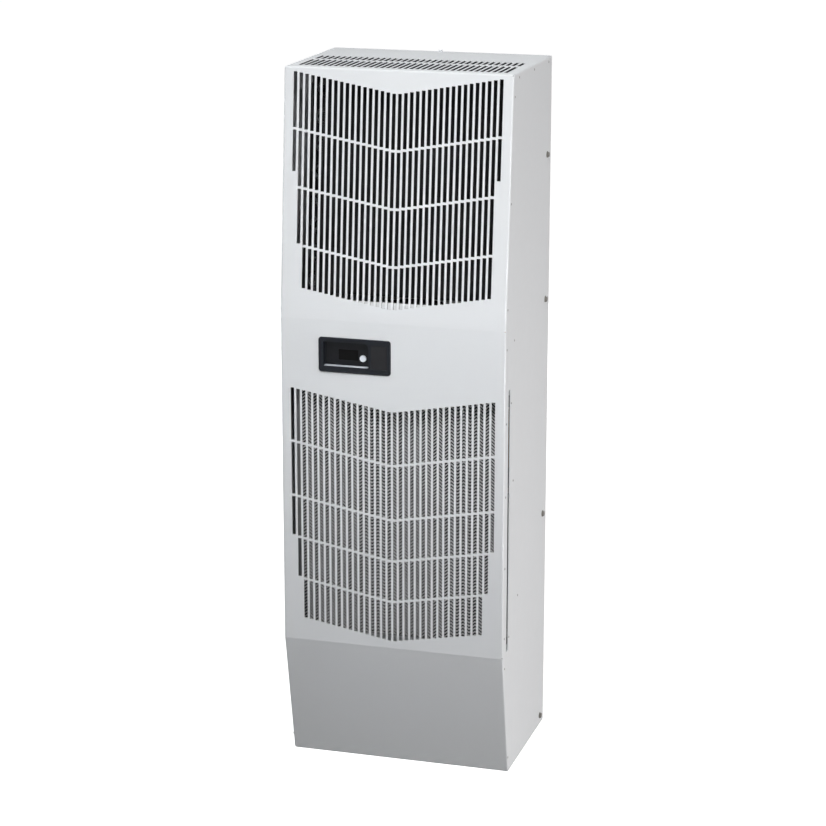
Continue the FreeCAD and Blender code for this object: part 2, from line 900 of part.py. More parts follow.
collar_front = bezel_back - collar_gap
collar_back = collar_front - collar_thickness


def display_button():
    """Round push button with a hidden square collar that keeps it in the bezel."""
    front = bezel_floor + button_proud
    cap = rod(at(button_x, collar_front, button_z), FORWARD, button_radius, front - collar_front)
    collar = block(around(button_x, collar_half), (collar_back, collar_front), around(button_z, collar_half))
    return fuse([cap, collar])


def controller_board():
    front = collar_back - button_travel - board_gap
    return block(inset(bezel_x, body_margin + body_wall), (front - board_thickness, front),
                 inset(bezel_z, body_margin + body_wall))


def controller_housing():
    depth = (body_back - housing_length, body_back)
    return block(inset(bezel_x, body_margin), depth, inset(bezel_z, body_margin))


# Air filter
def filter_rail(edge_z, up, lip):
    """A channel across the casing that guides one edge of the filter."""
    near, far = filter_span[0] - rail_gap, filter_span[1] + rail_gap
    seat = edge_z - up * rail_gap
    foot = seat - up * rail_wall
    rim = edge_z + up * lip
    points = [(near - rail_wall, foot), (far + rail_wall, foot), (far + rail_wall, rim), (far, rim),
              (far, seat), (near, seat), (near, rim), (near - rail_wall, rim)]
    return across(points, (-inner, inner))


def filter_upper_rail():
    return filter_rail(filter_z[1], -1, upper_rail_lip)


def filter_lower_rail():
    return filter_rail(filter_z[0], 1, lower_rail_lip)


def filter_mesh():
    depth = inset(filter_span, filter_wall)
    return block(inset(filter_x, filter_channel), depth, inset(filter_z, filter_channel))


def filter_frame():
    """Rectangular channel frame around the filter mesh."""
    frame = block(filter_x, filter_span, filter_z)
    depth = inset(filter_span, -overshoot)
    window = block(inset(filter_x, filter_border), depth, inset(filter_z, filter_border))
    return frame.cut(window).cut(filter_mesh())


nodes = [
    upper_grille_panel, lower_grille_panel, lower_apron, top_grille_panel, base_panel, left_side_panel,
    right_side_panel, rear_panel, wall_seal, rear_posts, base_tray, air_divider, divider_insulation,
    duct_floor, mid_shelf, condenser_fins, condenser_end_plates, plenum_cover, condenser_headers,
    evaporator_fins, evaporator_end_plates, evaporator_headers, condensate_pan, drain_tube, condenser_fan_motor,
    condenser_fan_bracket, condenser_fan_blades, evaporator_inlet_plate, evaporator_wheel,
    evaporator_fan_motor, evaporator_motor_plate, compressor_shell, compressor_base,
    compressor_pads, compressor_terminal_cover, accumulator, suction_stub, suction_pipe, discharge_pipe,
    filter_drier, liquid_pipe, capillary_tube, electrical_box, electrical_lid, contactor, run_capacitor,
    terminal_block, controller_bezel, display_window, display_button, controller_board, controller_housing,
    filter_upper_rail, filter_lower_rail, filter_frame, filter_mesh,
]

os.makedirs("parts", exist_ok=True)
for make in nodes:
    shape = make()
    shape.exportStep(f"parts/{make.__name__}.step")
    print(make.__name__, len(shape.Solids), shape.isValid(), round(shape.Volume))
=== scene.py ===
import json
import math

import bmesh
import bpy
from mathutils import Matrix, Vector


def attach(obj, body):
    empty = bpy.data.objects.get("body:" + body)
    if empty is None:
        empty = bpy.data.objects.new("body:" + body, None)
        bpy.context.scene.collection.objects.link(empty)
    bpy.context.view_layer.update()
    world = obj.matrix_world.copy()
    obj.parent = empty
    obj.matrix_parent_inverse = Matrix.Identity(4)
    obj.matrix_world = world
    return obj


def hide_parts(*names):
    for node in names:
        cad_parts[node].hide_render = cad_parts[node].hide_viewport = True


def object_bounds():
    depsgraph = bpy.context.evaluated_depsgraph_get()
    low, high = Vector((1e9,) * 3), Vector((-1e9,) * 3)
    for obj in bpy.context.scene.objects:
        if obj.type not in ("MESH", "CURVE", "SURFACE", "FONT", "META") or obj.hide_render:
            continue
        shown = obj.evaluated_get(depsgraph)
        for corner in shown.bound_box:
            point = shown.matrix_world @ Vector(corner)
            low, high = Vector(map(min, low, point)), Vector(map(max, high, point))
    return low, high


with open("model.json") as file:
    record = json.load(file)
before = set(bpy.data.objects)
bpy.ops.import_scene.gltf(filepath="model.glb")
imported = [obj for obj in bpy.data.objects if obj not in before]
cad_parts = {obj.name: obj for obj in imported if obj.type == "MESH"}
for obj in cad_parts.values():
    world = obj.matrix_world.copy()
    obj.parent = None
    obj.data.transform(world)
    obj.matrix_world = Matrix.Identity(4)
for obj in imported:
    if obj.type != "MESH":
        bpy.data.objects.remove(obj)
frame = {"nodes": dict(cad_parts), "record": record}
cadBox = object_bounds()
print("frame loaded:", len(frame["nodes"]), "nodes")

# sizes are in mm
mm = 0.001
sealThick = 4.0
sideFace = cadBox[1][0] / mm
topFace = cadBox[1][2] / mm
backPlane = cadBox[1][1] / mm - sealThick


# depth is counted forward from the casing's back
def at(x, depth, z):
    return Vector((x, backPlane - depth, z)) * mm


def setInputs(tree, node, inputs):
    for key, value in inputs.items():
        if isinstance(value, bpy.types.NodeSocket):
            tree.links.new(value, node.inputs[key])
        else:
            node.inputs[key].default_value = value
    return node


def addNode(tree, kind, inputs=None, **settings):
    node = tree.nodes.new("ShaderNode" + kind)
    for key, value in settings.items():
        setattr(node, key, value)
    return setInputs(tree, node, inputs or {})


def newGroup(name, inputs, outputs):
    group = bpy.data.node_groups.new(name, "ShaderNodeTree")
    for label, kind, value in inputs:
        group.interface.new_socket(label, in_out="INPUT", socket_type=kind).default_value = value
    for label, kind in outputs:
        group.interface.new_socket(label, in_out="OUTPUT", socket_type=kind)
    return group, group.nodes.new("NodeGroupInput"), group.nodes.new("NodeGroupOutput")


noiseLow, noiseHigh = 0.3, 0.7  # most values of a noise texture lie between these


# fine bumps of a coated or moulded surface, and wide flecks for its roughness
grainEffect = dict(detail=3.0, roughness=0.55, fleckShare=0.07, fleckDetail=2.0)


def surfaceGrainGroup():
    s = grainEffect
    group, source, sink = newGroup(
        "surfaceGrain",
        [("Scale", "NodeSocketFloat", 900.0)],
        [("Height", "NodeSocketFloat"), ("Fleck", "NodeSocketFloat")])
    place = addNode(group, "TexCoord").outputs["Object"]
    fine = addNode(group, "TexNoise", {"Vector": place, "Scale": source.outputs["Scale"],
                                       "Detail": s["detail"], "Roughness": s["roughness"]})
    wide = addNode(group, "Math", {0: source.outputs["Scale"], 1: s["fleckShare"]}, operation="MULTIPLY")
    cloud = addNode(group, "TexNoise", {"Vector": place, "Scale": wide.outputs[0],
                                        "Detail": s["fleckDetail"]})
    group.links.new(fine.outputs["Fac"], sink.inputs["Height"])
    group.links.new(cloud.outputs["Fac"], sink.inputs["Fleck"])
    return group


# slow change of a colour's value over a surface
driftEffect = dict(detail=4.0)


def colourDriftGroup():
    group, source, sink = newGroup(
        "colourDrift",
        [("Colour", "NodeSocketColor", (0.5, 0.5, 0.5, 1)), ("Spread", "NodeSocketFloat", 0.03),
         ("Scale", "NodeSocketFloat", 4.0)],
        [("Colour", "NodeSocketColor")])
    place = addNode(group, "TexCoord").outputs["Object"]
    noise = addNode(group, "TexNoise", {"Vector": place, "Scale": source.outputs["Scale"],
                                        "Detail": driftEffect["detail"]})
    low = addNode(group, "Math", {0: 1.0, 1: source.outputs["Spread"]}, operation="SUBTRACT")
    high = addNode(group, "Math", {0: 1.0, 1: source.outputs["Spread"]}, operation="ADD")
    value = addNode(group, "MapRange", {"Value": noise.outputs["Fac"], "From Min": noiseLow,
                                        "From Max": noiseHigh, "To Min": low.outputs[0],
                                        "To Max": high.outputs[0]})
    tint = addNode(group, "HueSaturation", {"Value": value.outputs[0], "Color": source.outputs["Colour"]})
    group.links.new(tint.outputs["Color"], sink.inputs["Colour"])
    return group


# patchy wear along sharp edges; the cosines are between the softened and the flat normal
wearEffect = dict(radius=0.0012, samples=4, cosines=(0.98, 0.8), patchScale=60.0, patchDetail=5.0)


def edgeWearGroup():
    s = wearEffect
    group, source, sink = newGroup(
        "edgeWear",
        [("Radius", "NodeSocketFloat", s["radius"]), ("Amount", "NodeSocketFloat", 0.5)],
        [("Mask", "NodeSocketFloat")])
    soft = addNode(group, "Bevel", {"Radius": source.outputs["Radius"]}, samples=s["samples"])
    flat = addNode(group, "NewGeometry")
    facing = addNode(group, "VectorMath", {0: soft.outputs["Normal"], 1: flat.outputs["Normal"]},
                     operation="DOT_PRODUCT")
    flush, sharp = s["cosines"]
    edge = addNode(group, "MapRange", {"Value": facing.outputs["Value"], "From Min": flush,
                                       "From Max": sharp, "To Min": 0.0, "To Max": 1.0})
    place = addNode(group, "TexCoord").outputs["Object"]
    patch = addNode(group, "TexNoise", {"Vector": place, "Scale": s["patchScale"],
                                        "Detail": s["patchDetail"]})
    worn = addNode(group, "Math", {0: edge.outputs[0], 1: patch.outputs["Fac"]}, operation="MULTIPLY")
    mask = addNode(group, "Math", {0: worn.outputs[0], 1: source.outputs["Amount"]},
                   operation="MULTIPLY", use_clamp=True)
    group.links.new(mask.outputs[0], sink.inputs["Mask"])
    return group


# dust that lies on faces turned up
dustEffect = dict(colour=(0.42, 0.41, 0.39), upward=(0.4, 0.95), patchScale=35.0, patchDetail=6.0)


def settledDustGroup():
    s = dustEffect
    group, source, sink = newGroup(
        "settledDust", [("Amount", "NodeSocketFloat", 0.2)], [("Mask", "NodeSocketFloat")])
    flat = addNode(group, "NewGeometry")
    parts = addNode(group, "SeparateXYZ", {0: flat.outputs["Normal"]})
    steep, level = s["upward"]
    upward = addNode(group, "MapRange", {"Value": parts.outputs["Z"], "From Min": steep, "From Max": level})
    place = addNode(group, "TexCoord").outputs["Object"]
    patch = addNode(group, "TexNoise", {"Vector": place, "Scale": s["patchScale"],
                                        "Detail": s["patchDetail"]})
    lies = addNode(group, "Math", {0: upward.outputs[0], 1: patch.outputs["Fac"]}, operation="MULTIPLY")
    mask = addNode(group, "Math", {0: lies.outputs[0], 1: source.outputs["Amount"]},
                   operation="MULTIPLY", use_clamp=True)
    group.links.new(mask.outputs[0], sink.inputs["Mask"])
    return group


# painted shade: walls of slots cut through a sheet, facing sideways and within reach of the middle, are
# darkened to stand in for the shade inside the slots
slotShadeEffect = dict(reach=0.2, sideways=0.9)


def slotShadeGroup():
    s = slotShadeEffect
    group, source, sink = newGroup(
        "slotWallShade", [("Reach", "NodeSocketFloat", s["reach"])], [("Mask", "NodeSocketFloat")])
    flat = addNode(group, "NewGeometry")
    turned = addNode(group, "SeparateXYZ", {0: flat.outputs["Normal"]})
    sideways = addNode(group, "Math", {0: turned.outputs["X"]}, operation="ABSOLUTE")
    wall = addNode(group, "Math", {0: sideways.outputs[0], 1: s["sideways"]}, operation="GREATER_THAN")
    place = addNode(group, "TexCoord")
    spot = addNode(group, "SeparateXYZ", {0: place.outputs["Object"]})
    away = addNode(group, "Math", {0: spot.outputs["X"]}, operation="ABSOLUTE")
    within = addNode(group, "Math", {0: away.outputs[0], 1: source.outputs["Reach"]},
                     operation="LESS_THAN")
    mask = addNode(group, "Math", {0: wall.outputs[0], 1: within.outputs[0]}, operation="MULTIPLY")
    group.links.new(mask.outputs[0], sink.inputs["Mask"])
    return group


groups = {
    "cut": slotShadeGroup(),
    "grain": surfaceGrainGroup(),
    "drift": colourDriftGroup(),
    "wear": edgeWearGroup(),
    "dust": settledDustGroup(),
}


def useGroup(tree, name, inputs):
    node = tree.nodes.new("ShaderNodeGroup")
    node.node_tree = groups[name]
    return setInputs(tree, node, inputs)


# inputs 6 and 7 and output 2 are the Mix node's colour sockets
def mixColour(tree, factor, first, second):
    node = tree.nodes.new("ShaderNodeMix")
    node.data_type = "RGBA"
    return setInputs(tree, node, {0: factor, 6: first, 7: second}).outputs[2]


def opaque(colour):
    return (*colour, 1.0)


# what a finish has unless its own settings say otherwise; lengths are in metres
plainLook = dict(metallic=0.0, coat=0.0, coatRoughness=0.12, specular=0.5, bumpDepth=0.0002)


# one builder for coated, moulded and bare surfaces; each finish has its own settings
def makeFinish(name, ownLook):
    look = dict(plainLook, **ownLook)
    mat = bpy.data.materials.new(name)
    mat.use_nodes = True
    tree = mat.node_tree
    shader = tree.nodes["Principled BSDF"]
    drift = useGroup(tree, "drift", {"Colour": opaque(look["colour"]), "Spread": look["drift"],
                                     "Scale": look["driftScale"]})
    grain = useGroup(tree, "grain", {"Scale": look["grainScale"]})
    colour = drift.outputs["Colour"]
    if "mottle" in look:  # tarnish or spangle in a second colour
        place = addNode(tree, "TexCoord")
        cells = addNode(tree, "TexVoronoi", {"Vector": place.outputs["Object"],
                                             "Scale": look["mottleScale"]})
        shade = addNode(tree, "SeparateColor", {0: cells.outputs["Color"]})
        amount = addNode(tree, "Math", {0: shade.outputs[0], 1: look["mottleAmount"]},
                         operation="MULTIPLY")
        colour = mixColour(tree, amount.outputs[0], colour, opaque(look["mottle"]))
    if "wear" in look:
        wear = useGroup(tree, "wear", {"Amount": look["wear"]})
        colour = mixColour(tree, wear.outputs["Mask"], colour, opaque(look["wearColour"]))
    if "dust" in look:
        dust = useGroup(tree, "dust", {"Amount": look["dust"]})
        colour = mixColour(tree, dust.outputs["Mask"], colour, opaque(dustEffect["colour"]))
    # painted shade: a near-black colour on the slot walls
    if "slotShadeColour" in look:
        cut = useGroup(tree, "cut", {})
        colour = mixColour(tree, cut.outputs["Mask"], colour, opaque(look["slotShadeColour"]))
    tree.links.new(colour, shader.inputs["Base Color"])
    low, high = look["roughness"]
    rough = addNode(tree, "MapRange", {"Value": grain.outputs["Fleck"], "From Min": noiseLow,
                                       "From Max": noiseHigh, "To Min": low, "To Max": high})
    tree.links.new(rough.outputs[0], shader.inputs["Roughness"])
    bump = addNode(tree, "Bump", {"Height": grain.outputs["Height"], "Strength": look["bump"],
                                  "Distance": look["bumpDepth"]})
    tree.links.new(bump.outputs["Normal"], shader.inputs["Normal"])
    shader.inputs["Metallic"].default_value = look["metallic"]
    shader.inputs["Coat Weight"].default_value = look["coat"]
    shader.inputs["Coat Roughness"].default_value = look["coatRoughness"]
    shader.inputs["Specular IOR Level"].default_value = look["specular"]
    return mat


finishLooks = {
    "casing_paint": dict(
        colour=(0.602, 0.622, 0.640), drift=0.012, driftScale=3.0, roughness=(0.56, 0.64), specular=0.38,
        grainScale=1100.0, bump=0.10, wear=0.25, wearColour=(0.70, 0.715, 0.725), dust=0.04),
    "inner_sheet": dict(
        colour=(0.46, 0.475, 0.485), drift=0.05, driftScale=9.0, roughness=(0.36, 0.52), metallic=0.85,
        grainScale=500.0, bump=0.06, mottle=(0.60, 0.61, 0.62), mottleScale=70.0, mottleAmount=0.5,
        dust=0.2),
    "seal_foam": dict(
        colour=(0.022, 0.022, 0.024), drift=0.15, driftScale=30.0, roughness=(0.85, 0.95), specular=0.2,
        grainScale=1600.0, bump=0.8, bumpDepth=0.0006),
    "insulation_foam": dict(
        colour=(0.030, 0.031, 0.033), drift=0.2, driftScale=20.0, roughness=(0.85, 0.95), specular=0.1,
        grainScale=800.0, bump=0.9, bumpDepth=0.001),
    "coil_aluminium": dict(
        colour=(0.016, 0.0165, 0.0175), drift=0.15, driftScale=12.0, roughness=(0.5, 0.65), metallic=0.3,
        specular=0.3, grainScale=700.0, bump=0.15, dust=0.04),
    "copper": dict(
        colour=(0.34, 0.16, 0.09), drift=0.12, driftScale=25.0, roughness=(0.28, 0.45), metallic=1.0,
        grainScale=400.0, bump=0.08, mottle=(0.12, 0.06, 0.04), mottleScale=60.0, mottleAmount=0.5),
    "drain_hose": dict(
        colour=(0.50, 0.50, 0.48), drift=0.05, driftScale=15.0, roughness=(0.4, 0.55), grainScale=300.0,
        bump=0.15),
    "motor_black": dict(
        colour=(0.030, 0.030, 0.033), drift=0.08, driftScale=15.0, roughness=(0.38, 0.5),
        grainScale=900.0, bump=0.2, wear=0.5, wearColour=(0.16, 0.16, 0.165), dust=0.25),
    "fan_plastic": dict(
        colour=(0.035, 0.035, 0.038), drift=0.06, driftScale=15.0, roughness=(0.42, 0.55),
        grainScale=1200.0, bump=0.12, dust=0.2),
    "compressor_black": dict(
        colour=(0.018, 0.018, 0.020), drift=0.1, driftScale=12.0, roughness=(0.22, 0.36), coat=0.3,
        grainScale=500.0, bump=0.12, wear=0.5, wearColour=(0.14, 0.14, 0.145), dust=0.25),
    "pad_rubber": dict(
        colour=(0.022, 0.022, 0.022), drift=0.1, driftScale=25.0, roughness=(0.7, 0.85), grainScale=900.0,
        bump=0.3),
    "device_plastic": dict(
        colour=(0.11, 0.115, 0.12), drift=0.04, driftScale=20.0, roughness=(0.4, 0.5), grainScale=1200.0,
        bump=0.12, dust=0.15),
    "bezel_plastic": dict(
        colour=(0.0066, 0.0082, 0.0116), drift=0.05, driftScale=18.0, roughness=(0.40, 0.48),
        specular=0.15, grainScale=2200.0, bump=0.10, wear=0.35, wearColour=(0.04, 0.043, 0.048),
        dust=0.01),
    "plate_grey": dict(
        colour=(0.0105, 0.0108, 0.0125), drift=0.05, driftScale=30.0, roughness=(0.50, 0.58),
        specular=0.16, grainScale=1800.0, bump=0.06),
    "display_glass": dict(
        colour=(0.003, 0.0031, 0.0033), drift=0.04, driftScale=20.0, roughness=(0.10, 0.16),
        specular=0.06, grainScale=600.0, bump=0.01),
    # painted shade: darker than the bezel, for the shaded floor of the recess
    "recess_painted_shade": dict(
        colour=(0.0042, 0.0048, 0.0062), drift=0.05, driftScale=25.0, roughness=(0.55, 0.65),
        specular=0.14, grainScale=1800.0, bump=0.06),
    "button_white": dict(
        colour=(0.66, 0.70, 0.76), drift=0.01, driftScale=40.0, roughness=(0.26, 0.32),
        grainScale=1500.0, bump=0.05, wear=0.3, wearColour=(0.60, 0.62, 0.65)),
    "board_green": dict(
        colour=(0.02, 0.10, 0.045), drift=0.1, driftScale=60.0, roughness=(0.3, 0.45), grainScale=400.0,
        bump=0.2, mottle=(0.30, 0.24, 0.08), mottleScale=300.0, mottleAmount=0.25),
    "filter_aluminium": dict(
        colour=(0.41, 0.415, 0.425), drift=0.08, driftScale=20.0, roughness=(0.40, 0.55), metallic=0.25,
        grainScale=800.0, bump=0.1, dust=0.05),
    # painted shade: a darker copy of the filter's aluminium for its frame
    "frame_aluminium_painted_shade": dict(
        colour=(0.17, 0.175, 0.18), drift=0.08, driftScale=20.0, roughness=(0.40, 0.55), metallic=0.25,
        grainScale=800.0, bump=0.1, dust=0.05),
    # painted shade: a dark sheet behind the filter strands
    "filter_backing_painted_shade": dict(
        colour=(0.045, 0.0455, 0.047), drift=0.2, driftScale=40.0, roughness=(0.85, 0.95), specular=0.1,
        grainScale=1200.0, bump=0.8, bumpDepth=0.0006),
    "screw_zinc": dict(
        colour=(0.12, 0.117, 0.105), drift=0.08, driftScale=80.0, roughness=(0.48, 0.60), metallic=0.35,
        grainScale=900.0, bump=0.08, wear=0.4, wearColour=(0.25, 0.25, 0.24)),
    "rivet_grey": dict(
        colour=(0.26, 0.26, 0.255), drift=0.06, driftScale=90.0, roughness=(0.42, 0.55), metallic=0.4,
        grainScale=900.0, bump=0.06),
    # painted highlight: light grey for the bead at the foot of the black recess
    "lip_painted_highlight": dict(
        colour=(0.50, 0.53, 0.58), drift=0.03, driftScale=30.0, roughness=(0.30, 0.38), metallic=0.2,
        grainScale=1400.0, bump=0.04),
    # painted shade: the light metal of the return bends and the condenser's headers is darkened to stand in
    # for the shade inside the casing
    "bend_metal_painted_shade": dict(
        colour=(0.030, 0.031, 0.033), drift=0.15, driftScale=30.0, roughness=(0.22, 0.34), metallic=0.7,
        grainScale=500.0, bump=0.06),
}
# grille sheets: the casing paint with painted shade on their slot walls
finishLooks["grille_paint_slot_shade"] = dict(finishLooks["casing_paint"], slotShadeColour=(0.03, 0.03, 0.032))
finishes = {name: makeFinish(name, look) for name, look in finishLooks.items()}
print("finishes made:", len(finishes))

# nodes that don't have their slot's finish, each as painted shade: the condenser's end plates, its headers
# and the air divider take dark finishes for the dark inside of the casing, the filter frame a darker copy
# of the filter's aluminium, and the grille sheets dark slot walls
ownFinish = dict(
    condenser_end_plates="coil_aluminium", condenser_headers="bend_metal_painted_shade", air_divider="insulation_foam",
    filter_frame="frame_aluminium_painted_shade", top_grille_panel="grille_paint_slot_shade", upper_grille_panel="grille_paint_slot_shade",
    lower_grille_panel="grille_paint_slot_shade")

for row in frame["record"]["subparts"]:
    data = frame["nodes"][row["node"]].data
    data.materials.clear()
    data.materials.append(finishes[ownFinish.get(row["node"], row["material_slot"])])
print("frame nodes finished")


# joins rings of points into a skin, capped at both ends or closed on itself
def ringStack(bm, rings, closed=False):
    loops = [[bm.verts.new(p) for p in ring] for ring in rings]
    count = len(loops[0])
    pairs = list(zip(loops, loops[1:]))
    if closed:
        pairs.append((loops[-1], loops[0]))
    for near, far in pairs:
        for i in range(count):
            j = (i + 1) % count
            bm.faces.new((near[i], near[j], far[j], far[i]))
    if not closed:
        bm.faces.new(list(reversed(loops[0])))
        bm.faces.new(loops[-1])


def sideAxes(axis):
    alongZ = abs(axis.z) >= 0.9
    spare = Vector((1, 0, 0)) if alongZ else Vector((0, 0, 1))
    first = axis.cross(spare).normalized()
    return first, axis.cross(first).normalized()


def turns(steps):
    return [2 * math.pi * k / steps for k in range(steps)]


def roundRing(centre, first, second, radius, steps):
    return [centre + (first * math.cos(turn) + second * math.sin(turn)) * (radius * mm)
            for turn in turns(steps)]


# profile: (radius, distance along the axis)
def lathe(bm, profile, origin, axis, steps=28, closed=False):
    first, second = sideAxes(axis)
    rings = [roundRing(origin + axis * (along * mm), first, second, radius, steps)
             for radius, along in profile]
    ringStack(bm, rings, closed=closed)


def sweepTube(bm, path, radius, sides=12, closed=False):
    rings = []
    axis = (path[1] - path[0]).normalized()
    first, second = sideAxes(axis)
    last = len(path) - 1
    for i, point in enumerate(path):
        if closed:
            ahead = path[(i + 1) % len(path)] - path[i - 1]
        else:
            ahead = path[min(i + 1, last)] - path[max(i - 1, 0)]
        turnBy = axis.rotation_difference(ahead.normalized())
        first.rotate(turnBy)
        second.rotate(turnBy)
        axis = ahead.normalized()
        rings.append(roundRing(point, first, second, radius, sides))
    ringStack(bm, rings, closed=closed)


def makePiece(name, bm, finish, body, stands=(), sharpAngle=35.0):
    bmesh.ops.recalc_face_normals(bm, faces=bm.faces)
    for face in bm.faces:
        face.smooth = True
    for edge in bm.edges:
        if len(edge.link_faces) == 2 and edge.calc_face_angle() > math.radians(sharpAngle):
            edge.smooth = False
    mesh = bpy.data.meshes.new(name)
    bm.to_mesh(mesh)
    bm.free()
    piece = bpy.data.objects.new(name, mesh)
    bpy.context.scene.collection.objects.link(piece)
    mesh.materials.append(finishes[finish])
    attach(piece, body)
    if stands:
        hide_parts(*stands)


# flanged hex screws that hold the cover to the rear posts
# flange: (radius, height); head: (half the width across flats, height)
coverScrews = dict(
    depth=28.0, heights=(1139.0, 863.0, 438.0, 20.0),
    flange=((6.0, 0.0), (6.2, 0.3), (6.2, 0.8), (5.4, 1.3), (4.4, 1.5)),
    head=((4.4, 1.4), (4.4, 3.5), (4.15, 3.95), (3.5, 4.2)), headSteps=24)


def hexRing(centre, axis, across, steps):
    first, second = sideAxes(axis)
    ring = []
    for turn in turns(steps):
        flat = (turn % (math.pi / 3)) - math.pi / 6
        reach = across / math.cos(flat)
        ring.append(centre + (first * math.cos(turn) + second * math.sin(turn)) * (reach * mm))
    return ring


def buildCoverScrews():
    s = coverScrews
    bm = bmesh.new()
    for sign in (-1, 1):
        axis = Vector((sign, 0, 0))
        for z in s["heights"]:
            seat = at(sign * sideFace, s["depth"], z)
            lathe(bm, s["flange"], seat, axis)
            ringStack(bm, [hexRing(seat + axis * (along * mm), axis, across, s["headSteps"])
                           for across, along in s["head"]])
    makePiece("coverScrews", bm, "screw_zinc", "casing")


# small domed rivets that hold the inner frames; places are (depth, height)
sideRivets = dict(
    dome=((2.3, 0.0), (2.139, 0.36), (1.61, 0.64), (0.805, 0.8)), steps=16,
    places=((245, 1311), (135, 1311), (25, 1311), (275, 1280), (294, 1092), (311, 903), (314, 830),
            (261, 836), (279, 723), (313.5, 692), (260, 571), (314, 554), (315, 417), (217, 334),
            (314, 280.5), (280.5, 273), (310, 220), (278, 31)))


def buildSideRivets():
    s = sideRivets
    bm = bmesh.new()
    for sign in (-1, 1):
        for depth, z in s["places"]:
            lathe(bm, s["dome"], at(sign * sideFace, depth, z), Vector((sign, 0, 0)), s["steps"])
    makePiece("sideRivets", bm, "rivet_grey", "casing", sharpAngle=60)


# painted screw head at the middle of the top's rear edge
topScrew = dict(depth=6.0, head=((4.0, 0.0), (4.0, 1.8), (3.52, 3.2), (2.0, 4.0), (1.84, 3.0)))


def buildTopScrew():
    bm = bmesh.new()
    lathe(bm, topScrew["head"], at(0, topScrew["depth"], topFace), Vector((0, 0, 1)))
    makePiece("topScrew", bm, "casing_paint", "casing")


# threaded collars in the wall bolt holes
wallCollars = dict(
    x=185.0, heights=(60.0, 1260.0),
    section=((3.35, 0.0), (6.2, 0.0), (6.2, 0.66), (5.6, 1.1), (3.75, 1.1), (3.35, 0.77)))


def buildWallCollars():
    s = wallCollars
    bm = bmesh.new()
    for x in (-s["x"], s["x"]):
        for z in s["heights"]:
            lathe(bm, s["section"], at(x, 0, z), Vector((0, 1, 0)), closed=True)
    makePiece("wallCollars", bm, "screw_zinc", "casing")


buildCoverScrews()
buildSideRivets()
buildTopScrew()
buildWallCollars()
print("screws, rivets and collars done")


# painted highlight: a light grey bead along the foot of the controller's recess stands in for the sheen of
# light on the black sill
# ends: (distance from the end, how far the bead has shrunk there)
recessHighlightBead = dict(
    x=(-129.6, -46.5), front=324.6, floor=316.0, sill=780.45, tall=0.7, chin=0.6, nose=(0.3, 0.2),
    crown=1.0, noseDroop=0.3, crownDroop=0.6,
    leftEnd=((0.0, 0.5), (0.6, 0.1), (1.4, 0.0)), rightEnd=((3.0, 0.0), (1.0, 0.25), (0.0, 0.8)))


def buildRecessHighlightBead():
    s = recessHighlightBead
    bm = bmesh.new()
    left, right = s["x"]
    floor, sill, top = s["floor"], s["sill"], s["sill"] + s["tall"]
    noseBack, noseDown = s["nose"]
    stations = [(left + away, shrink) for away, shrink in s["leftEnd"]]
    stations += [(right - away, shrink) for away, shrink in s["rightEnd"]]
    rings = []
    for x, shrink in stations:
        front = s["front"] - shrink
        crown = top - shrink * s["crownDroop"]
        rings.append([
            at(x, floor, sill), at(x, front, sill), at(x, front, top - s["chin"]),
            at(x, front - noseBack, top - noseDown - shrink * s["noseDroop"]),
            at(x, front - s["crown"], crown), at(x, floor, crown)])
    ringStack(bm, rings)
    makePiece("recessHighlightBead", bm, "lip_painted_highlight", "casing")


# thin sheet on the recess's floor, darker than the bezel, that stands in for the shade in the recess
# (painted shade), open round the window and the button
recessShadeSheet = dict(
    x=(-129.4, -44.2), z=(781.7, 825.6), seat=315.55, thick=0.3, corner=7.6, cornerSteps=6,
    windowX=(-104.4, -65.6), windowZ=(790.6, 811.1), button=(-56.8, 796.0), hole=6.5, holeSteps=28)


def buildRecessShadeSheet():
    s = recessShadeSheet
    bm = bmesh.new()
    left, right = s["x"]
    low, high = s["z"]
    corner = s["corner"]
    rim = [(left, low), (right, low)]
    for k in range(s["cornerSteps"] + 1):
        turn = math.pi / 2 * k / s["cornerSteps"]
        rim.append((right - corner + corner * math.cos(turn), high - corner + corner * math.sin(turn)))
    rim.append((left, high))
    (x0, x1), (z0, z1) = s["windowX"], s["windowZ"]
    window = [(x0, z0), (x1, z0), (x1, z1), (x0, z1)]
    x, z = s["button"]
    hole = [(x + s["hole"] * math.cos(turn), z + s["hole"] * math.sin(turn))
            for turn in turns(s["holeSteps"])]
    edges = []
    for loop in (rim, window, hole):
        verts = [bm.verts.new(at(px, s["seat"], pz)) for px, pz in loop]
        edges += [bm.edges.new((verts[i - 1], verts[i])) for i in range(len(verts))]
    filled = bmesh.ops.triangle_fill(bm, edges=edges, use_beauty=True)["geom"]
    faces = [f for f in filled if isinstance(f, bmesh.types.BMFace)]
    raised = bmesh.ops.extrude_face_region(bm, geom=faces)["geom"]
    bmesh.ops.translate(bm, verts=[v for v in raised if isinstance(v, bmesh.types.BMVert)],
                        vec=(0, -s["thick"] * mm, 0))
    makePiece("recessShadeSheet", bm, "recess_painted_shade", "casing")


# plain plate in the bezel's shallow inset
insetPlate = dict(x=(-38.6, -8.9), z=(779.4, 823.6), seat=325.7, thick=0.3, bevel=0.15)


def buildInsetPlate():
    s = insetPlate
    bm = bmesh.new()
    (left, right), (low, high) = s["x"], s["z"]
    front = s["seat"] + s["thick"]
    rings = []
    for depth, inset in ((s["seat"], 0), (front - s["bevel"], 0), (front, s["bevel"])):
        rings.append([at(left + inset, depth, low + inset), at(right - inset, depth, low + inset),
                      at(right - inset, depth, high - inset), at(left + inset, depth, high - inset)])
    ringStack(bm, rings)
    makePiece("insetPlate", bm, "plate_grey", "casing")


buildRecessHighlightBead()
buildRecessShadeSheet()
buildInsetPlate()
print("recess highlight_bead, shade_sheet and inset plate done")


